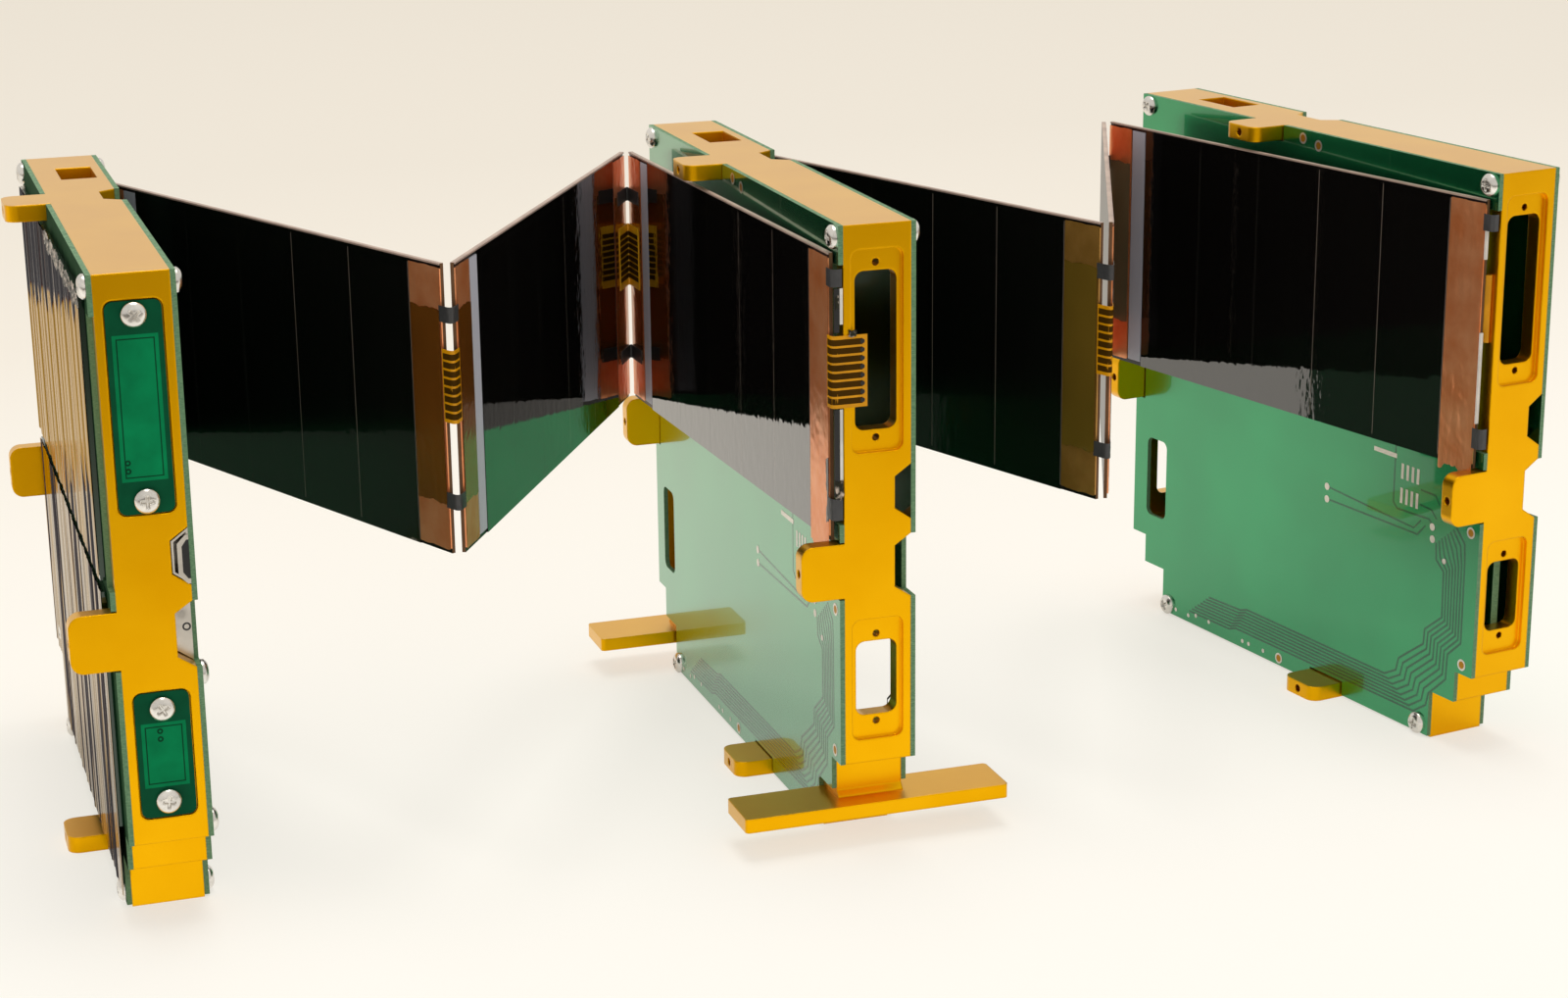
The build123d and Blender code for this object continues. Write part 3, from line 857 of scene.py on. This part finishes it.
# Board artwork, in distance from the near edge and height
TRACE_LEFT = ((12.2, 40.1), (11.9, 36.7), (9.6, 34.9), (9.4, 25.7), (14.2, 21.9), (14.4, 18.8), (21.5, 13.7),
              (22.2, 11.0), (25.6, 9.2), (71.4, 9.2), (73.6, 8.5), (85.0, 8.1))
TRACE_RIGHT = ((6.6, 44.6), (4.0, 42.0), (3.7, 38.0), (3.6, 22.1), (7.2, 18.8), (7.4, 13.6), (12.2, 9.2),
               (12.8, 6.6), (16.4, 4.2), (75.0, 4.0), (77.4, 3.2), (92.0, 3.0))
TRACE_COUNT = 8
SINGLE_TRACES = (
    ((46.0, 40.3), (17.8, 40.3), (15.6, 42.6)),
    ((46.0, 42.9), (19.0, 41.3), (17.0, 43.3)),
    ((25.4, 57.4), (25.4, 45.0), (24.2, 43.9), (14.6, 44.2), (12.6, 42.6)),
    ((17.4, 49.4), (13.0, 49.3), (11.6, 47.6)),
    ((17.4, 46.4), (14.0, 46.2), (12.4, 44.7)),
)
VIAS = (
    # distance from the near edge, height, radius
    (46.1, 42.9, 0.75), (46.0, 40.3, 0.75), (13.5, 42.9, 0.75), (13.3, 40.5, 0.75), (9.6, 37.0, 0.55),
    (97.0, 1.9, 0.45), (92.3, 1.9, 0.45), (89.5, 2.6, 0.45), (84.7, 2.6, 0.45), (72.5, 1.9, 0.45),
    (70.3, 1.9, 0.45), (65.2, 1.9, 0.45),
)
TRACE_WIDTH = 0.42
SINGLE_WIDTH = 0.36
HOLE_RADIUS = 0.75
RIM_RADIUS = 1.15
PLATED_HOLES = ((2.4, 44.6), (3.0, 17.9), (59.8, 1.9), (58.3, 112.0), (53.3, 111.2))
PADS = tuple((18.0 + 1.55 * index, low, 0.75, 3.1) for low in (45.3, 50.2) for index in range(4)) + (
    # distance of the low corner from the near edge, height, length, width
    (24.9, 53.9, 7.0, 0.9),
    (9.6, 57.4, 7.0, 0.9),
)


def ribbon(corners, width):
    """A flat line of even width with mitred corners, as points and quads of a plane."""
    corners = np.array(corners, float)
    run = np.diff(corners, axis=0)
    run /= np.hypot(run[:, 0], run[:, 1])[:, None]
    side = np.stack((-run[:, 1], run[:, 0]), 1)
    mitre = np.concatenate((side[:1], side[:-1] + side[1:], side[-1:]))
    mitre /= np.hypot(mitre[:, 0], mitre[:, 1])[:, None]
    reach = width / 2 / np.clip((mitre * np.concatenate((side[:1], side))).sum(1), 0.4, 1)
    points = np.concatenate((corners + mitre * reach[:, None], corners - mitre * reach[:, None]))
    count = len(corners)
    return points, [(k, k + 1, count + k + 1, count + k) for k in range(count - 1)]


def ring(u, z, inner, outer, steps=24):
    """A flat ring, or a disc where the inner radius is zero."""
    angle = np.linspace(0, 2 * math.pi, steps, endpoint=False)
    circle = np.stack((np.cos(angle), np.sin(angle)), 1)
    points = np.concatenate((circle * inner, circle * outer)) + (u, z)
    return points, grid_faces(2, steps, wrap=True)


def rectangle(u, z, length, width):
    """A flat rectangle from its low corner."""
    return np.array([(u, z), (u + length, z), (u + length, z + width), (u, z + width)]), [(0, 1, 2, 3)]


def add_flat(name, place, axis, level, shape, material, slot):
    """A flat shape of the plane square to one axis of a place, at a level on that axis."""
    points, faces = shape
    add_piece(name, place, (np.insert(points, axis, level, axis=1), faces), material, slot)


def add_artwork():
    """Traces, pads, vias and plated holes on every board but the left satellite's left one."""
    left, right = np.array(TRACE_LEFT), np.array(TRACE_RIGHT)
    bundle = [left + (right - left) * share for share in np.linspace(0, 1, TRACE_COUNT)]
    traces = [ribbon(line, TRACE_WIDTH) for line in bundle]
    traces += [ribbon(line, SINGLE_WIDTH) for line in SINGLE_TRACES]
    tin = [rectangle(*pad) for pad in PADS] + [ring(u, z, 0, radius) for u, z, radius in VIAS]
    tin += [ring(u, z, HOLE_RADIUS, RIM_RADIUS) for u, z in PLATED_HOLES]
    holes = [ring(u, z, 0, HOLE_RADIUS) for u, z in PLATED_HOLES]
    groups = (
        # name, shapes, height over the board, material, slot
        ("_traces", join(traces), 0.015, TRACE, "green_board"),
        ("_tin", join(tin), 0.03, TIN, "steel"),
        # The hole floors are darker gold: painted shade.
        ("_hole_floors", join(holes), 0.02, SHADED_HOLE_GOLD, "gold"),
    )
    for name, place in SATELLITES.items():
        for side, face, out in (("left", -BOARD_THICK, -1), ("right", RING_DEPTH + BOARD_THICK, 1)):
            if (name, side) == ("left", "left"):
                continue
            for label, shape, lift, material, slot in groups:
                add_flat(name + "_" + side + label, place, 0, face + out * lift, shape, material, slot)


# Left satellite: covers and ports
COVERS = (
    # height of the centre, length of the field, vias from the centre
    (91.3, 24.4, ((-2.6, -10.4), (-2.6, -9.0))),
    (31.6, 11.4, ((-0.6, 4.2), (-0.6, 2.8))),
)


COVER_WIDTH = 7.4
COVER_FACE = 0.1
LINE_INSET = 0.7


def add_cover_artwork():
    """A lighter field with a thin dark line round it on each cover, and two vias."""
    fields, lines, vias = [], [], []
    x = RING_DEPTH / 2
    for z, length, spots in COVERS:
        fields.append(rectangle(x - COVER_WIDTH / 2, z - length / 2, COVER_WIDTH, length))
        left, right = x - COVER_WIDTH / 2 + LINE_INSET, x + COVER_WIDTH / 2 - LINE_INSET
        low, high = z - length / 2 + LINE_INSET, z + length / 2 - LINE_INSET
        lines.append(ribbon(((left, low), (right, low), (right, high), (left, high), (left, low - 0.1)), 0.2))
        vias += [ring(x + u, z + v, 0.22, 0.5) for u, v in spots]
    groups = (("fields", fields, 0.01, COVER_FIELD), ("lines", lines, 0.02, COVER_LINE),
              ("vias", vias, 0.03, COVER_LINE))
    for label, shapes, lift, material in groups:
        level, shape = COVER_FACE - lift, flipped(join(shapes))
        add_flat("left_cover_" + label, SATELLITES["left"], 1, level, shape, material, "green_board")


PORT_RIM = ((12.4, 4.2), (11.9, 4.2), (10.45, 2.75))
PORT_MOUTH = ((12.4, 3.35), (12.0, 3.35), (11.2, 2.2))
PORT_HEIGHT = 65.2
CURL = (11.15, 53.6, 0.42, 0.72)


def mirrored_outline(half):
    """A closed outline from the upper half of one that is even about a level line."""
    upper = np.array(half)
    return np.concatenate((upper, (upper * (1, -1))[::-1])) + (0, PORT_HEIGHT)


def add_port_faces():
    """A rim and a dark mouth on the upper port, and the small curl of the lower one."""
    rim, mouth = mirrored_outline(PORT_RIM), mirrored_outline(PORT_MOUTH)
    count = len(rim)
    band = (np.concatenate((mouth, rim)), [(k, k + 1, count + k + 1, count + k) for k in range(count - 1)])
    groups = (("rim", band, 0.16, SHELL), ("curl", ring(*CURL), 0.06, DARK),
              ("mouth", (mouth, [tuple(range(count))]), 0.10, DARK))
    for label, shape, lift, material in groups:
        add_flat("left_port_" + label, SATELLITES["left"], 1, -lift, shape, material, "steel")


# Outer face of the left satellite: mirror films over the two fixed panels
FILM_ROWS = 240
FILM_COLUMNS = 130
LOWER_FILM_END = 5.0
LOWER_FILM_FOOT = 98.0
FILM_MARGIN = 0.05
FILM_LIFT = 0.16
FILM_RIPPLE = 0.10
TAPE_LIFT = 1.05
TAPE_CREASES = 0.60


def step(value, low, high):
    """A smooth step from 0 at low to 1 at high."""
    share = np.clip((value - low) / (high - low), 0, 1)
    return share * share * (3 - 2 * share)


def streaks(u, z, seed, longest, lean):
    """Upright streaks, mostly from -1 to 1: a sum of five sine waves of the distance from the near edge.

    Each wave is 0.62 times as long and 0.8 times as high as the one before, and drifts with the height by
    its own share of the lean.
    """
    random = np.random.default_rng(seed)
    total = np.zeros(np.broadcast(u, z).shape)
    for index in range(5):
        drift = lean * random.uniform(-1, 1)
        phase = random.uniform(0, 6.3)
        total += 0.8 ** index * np.sin((u + drift * z) * 2 * math.pi / (longest * 0.62 ** index) + phase)
    return total / 2.0


def spikes(u, z, seed):
    """A row of sharp points, from 0 to 1: one less the size of a sine whose wave changes along the row."""
    return 1 - np.abs(np.sin(math.pi * (u + 0.05 * z) / 8.5 + streaks(u, 0 * z, seed, 60.0, 0)))


def painted_reflection_tone(u, z, lower_film):
    """Painted reflection on the film, as how pale it looks: tan between streaky dark zones above, silver with
    dark streaks below.
    """
    wide, fine = streaks(u, z, 9, 36.0, 0.10), streaks(u, z, 4, 14.0, 0.05)
    dark = step(wide + 0.55 * fine, -0.12, -0.45)
    silver = 0.90 + 0.10 * fine
    zone = silver * (1 - dark) + 0.10 * dark
    if lower_film:
        return np.clip(zone, 0, 1)
    tan = 0.62 + 0.045 * fine
    top = step(z - (109.5 - 0.17 * u) + 4.5 * spikes(u, z, 21), -0.8, 0.8)
    low = step((77.0 - 0.22 * u) - z + 9.0 * spikes(u, z, 22), -0.8, 0.8)
    tone = tan * (1 - low) + (zone - 0.12) * low
    return np.clip(tone * (1 - top) + (0.03 + 0.22 * step(fine, 0.3, 0.9)) * top, 0, 1)


def add_outer_films():
    """A rippled mirror film over each outer panel, and crinkled silver tape along the top near edge."""
    place = SATELLITES["left"]
    for label in ("upper", "lower"):
        flat = Place("left_outer_" + label, "left")
        u, z = spread(FILM_MARGIN, flat.long - FILM_MARGIN, FILM_ROWS, FILM_COLUMNS)
        start = (place.long - flat.long) / 2
        low = flat.low + FILM_MARGIN
        if label == "lower":
            low = np.where(u + start < LOWER_FILM_FOOT, LOWER_FILM_END, low)
        z = low + (flat.high - FILM_MARGIN - low) * z
        # The tone is a painted reflection of the film's surroundings.
        tone = painted_reflection_tone(u + start, z, label == "lower")
        shape = flipped(grid(FILM_RIPPLE * streaks(u, z, 5, 11.0, 0.03) - FILM_LIFT, u, z))
        thing = add_piece("left_outer_film_" + label, flat, shape, PAINTED_REFLECTION_FILM, "outer_cells", smooth=True)
        attribute = thing.data.attributes.new("tone", "FLOAT", "POINT")
        attribute.data.foreach_set("value", tone.ravel().astype(np.float32))
    u, z = spread(3.0, 60.0, 150, 24)
    low = 107.4 + 0.8 * wave(u, 31, 14.0)
    high = 110.4 + 0.7 * wave(u, 32, 9.0)
    z = low + (high - low) * z
    x = -BOARD_THICK - TAPE_LIFT - TAPE_CREASES * crumple(u * 1.6, z * 1.6, 33)
    add_piece("left_silver_tape", place, flipped(grid(x, u, z)), SILVER_PAINTED_GLINTS, "steel", smooth=True)


# Small things beside the near hinges
def crumb(x, z, y, depth, seed):
    """A crumpled scrap on a near face, from its extents across and up."""
    across, up = spread(0, 1, 30, 30)
    width, height = x[1] - x[0], z[1] - z[0]
    u = x[0] + across * width + 0.12 * wave(up * 6, seed, 6.0) * width
    v = z[0] + up * height + 0.12 * wave(across * 6, seed + 1, 6.0) * height
    swell = np.sin(math.pi * across) * np.sin(math.pi * up)
    return grid(u, y - depth * (0.3 + crumple(u * 2, v * 2, seed)) * swell ** 0.3, v)


def add_hinge_scraps():
    """White and black strips, contacts with solder and scraps of tape beside the two near hinges."""
    place = SATELLITES["middle"]
    for color, material in (("white", WHITE), ("black", DARK)):
        blocks = [box_mesh((x[0], -0.12, z[0]), (x[1], 0.05, z[1]))
                  for x, z, kind in NEAR_EDGE_STRIPS if kind == color]
        add_piece("middle_near_strips_" + color, place, join(blocks), material, "strap")
    solder = (crumb((-1.55, -0.85), (99.3, 101.6), -0.15, 0.35, 51),
              crumb((-1.7, -0.2), (65.6, 68.8), -0.2, 0.7, 53))
    add_piece("middle_near_solder", place, join(solder), SILVER_PAINTED_GLINTS, "steel", smooth=True)
    scrap = crumb((0.9, 2.3), (94.3, 95.5), -0.3, 0.5, 57)
    add_piece("middle_near_tape_scrap", place, scrap, SILVER_PAINTED_GLINTS, "strap", smooth=True)
    strips = [box_mesh((-0.2, -0.45, low), (PANEL_BOARD * 0.6, -0.02, high))
              for low, high in PANEL_END_STRIPS]
    add_piece("panel_f_end_strips", PANELS["f"], join(strips), WHITE, "strap")
    u, z = spread(0.05, 1.25, 16, 60)
    z = 61.0 + 0.5 * wave(u, 71, 2.0) + 11.5 * z
    u = u * (0.75 + 0.35 * wave(z, 73, 9.0))
    x = front_x("c", 0.12) + TOWARD["c"] * 0.12 * crumple(u * 2, z * 2, 75)
    add_piece("panel_c_glue", PANELS["c"], grid(x, u, z), GLUE, "strap", smooth=True)


# Floor, backdrop and light
FLOOR_TONES = (
    # share of the floor's depth, tone by light
    (0.0, (0.955, 0.945, 0.915)), (0.25, (0.905, 0.860, 0.785)), (0.42, (0.885, 0.838, 0.762)),
    (0.80, (0.915, 0.866, 0.785)),
)
# The floor's own glow: painted light that lifts its shadows, darker with distance, seen by the camera and,
# weaker, in reflections.
FLOOR_GLOW = (
    # share of the floor's depth, tone of its own
    (0.0, (1.0, 0.966, 0.885)), (0.12, (0.94, 0.885, 0.79)), (0.25, (0.85, 0.78, 0.675)),
    (0.42, (0.795, 0.73, 0.625)), (0.80, (0.785, 0.72, 0.615)),
)
# Painted reflection: a glow seen only in reflections of the floor's front, dark towards the front.
PAINTED_FLOOR_REFLECTION = (
    # share of the way to the front, tone for what mirrors it
    (0.10, (0.82, 0.79, 0.73)), (0.16, (1.0, 0.97, 0.90)), (0.32, (0.96, 0.92, 0.85)),
    (0.49, (0.86, 0.82, 0.74)), (0.59, (0.62, 0.57, 0.50)), (0.75, (0.34, 0.31, 0.27)),
    (1.0, (0.12, 0.11, 0.10)),
)
FLOOR_HALF = 6.0
FLOOR_DEPTH = 1.6
GLOW_STRENGTH = 1.09
GLOW_SEEN = 0.6
GLOW_MIRRORED = 0.35
FRONT_SLANT = -0.25
FRONT_START = 0.05
FRONT_DEPTH = 0.6
FRONT_STRENGTH = 1.14
WORLD_COLOR = (1.0, 0.965, 0.91, 1)
WORLD_LIGHT = 0.60
WORLD_MIRRORED = 0.74
LAMP_PLACE = (0.1, 0.2, 2.2)
LAMP_TARGET = (0.0, 0.1, 0)
LAMP_SIZE = 1.2
LAMP_POWER = 23
LAMP_COLOR = (1, 0.97, 0.92)


def part_of(tree, value, whole):
    """A value as a share of a whole, kept from 0 to 1."""
    return add_node(tree, "MapRange", {"Value": value, "From Min": 0.0, "From Max": whole}, "Result")


def add_stage():
    """A large pale table top, a little darker with distance as a painted fall-off of light, with a glow of its
    own seen by the camera and, weaker, in reflections, and a painted reflection, much darker, where its front
    is mirrored.
    """
    material, tree, shader = new_material("table", FLOOR_TONES[0][1], 0.7)
    split = add_node(tree, "SeparateXYZ", {"Vector": add_node(tree, "TexCoord", {}, "Object")}).node.outputs
    rays = add_node(tree, "LightPath", {}).node.outputs
    away = part_of(tree, split["Y"], FLOOR_DEPTH)
    connect(tree, shader, {"Base Color": ramp(tree, away, FLOOR_TONES)})
    glow = add_node(tree, "Emission", {"Color": ramp(tree, away, FLOOR_GLOW), "Strength": GLOW_STRENGTH})
    nearness = math_node(tree, "MULTIPLY", split["Y"], -1.0)
    front = math_node(tree, "MULTIPLY_ADD", split["X"], FRONT_SLANT, nearness)
    fall = ramp(tree, part_of(tree, front, FRONT_DEPTH), PAINTED_FLOOR_REFLECTION)
    mirrored = add_node(tree, "Emission", {"Color": fall, "Strength": FRONT_STRENGTH})
    ahead = math_node(tree, "GREATER_THAN", front, FRONT_START)
    both = math_node(tree, "MULTIPLY", rays["Is Glossy Ray"], ahead)
    glossy = math_node(tree, "MULTIPLY", rays["Is Glossy Ray"], GLOW_MIRRORED)
    share = math_node(tree, "MULTIPLY_ADD", rays["Is Camera Ray"], GLOW_SEEN, glossy)
    pale = add_node(tree, "MixShader", {"Fac": share, 1: shader.outputs["BSDF"], 2: glow})
    mix = add_node(tree, "MixShader", {"Fac": both, 1: pale, 2: mirrored})
    connect(tree, tree.nodes["Material Output"], {"Surface": mix})
    mesh = bpy.data.meshes.new("table")
    points = [(x * FLOOR_HALF, y * FLOOR_HALF, 0) for x, y in ((-1, -1), (1, -1), (1, 1), (-1, 1))]
    mesh.from_pydata(points, [], [(0, 1, 2, 3)])
    mesh.materials.append(material)
    table = new_object("table", mesh)


def add_world():
    """Pale surroundings, a little brighter for what mirrors them."""
    world = bpy.data.worlds.new("surroundings")
    world.use_nodes = True
    tree = world.node_tree
    rays = add_node(tree, "LightPath", {}).node.outputs
    more = WORLD_MIRRORED - WORLD_LIGHT
    strength = math_node(tree, "MULTIPLY_ADD", rays["Is Glossy Ray"], more, WORLD_LIGHT)
    connect(tree, tree.nodes["Background"], {"Color": WORLD_COLOR, "Strength": strength})
    bpy.context.scene.world = world


def add_lamp():
    """A soft square lamp overhead."""
    data = bpy.data.lights.new("overhead", "AREA")
    data.shape = "SQUARE"
    data.size = LAMP_SIZE
    data.energy = LAMP_POWER
    data.color = LAMP_COLOR
    lamp = new_object("overhead", data)
    lamp.location = LAMP_PLACE
    aim = Vector(LAMP_TARGET) - Vector(LAMP_PLACE)
    lamp.rotation_euler = aim.to_track_quat("-Z", "Y").to_euler()


add_camera()
paint_nodes()
add_all_screws()
add_panel_fronts()
for fold_seed, fold in enumerate(FOLDS):
    add_fold(fold, 20 * fold_seed)
add_artwork()
add_cover_artwork()
add_port_faces()
add_outer_films()
add_hinge_scraps()
add_stage()
add_world()
add_lamp()
bpy.context.scene.view_settings.view_transform = "Standard"
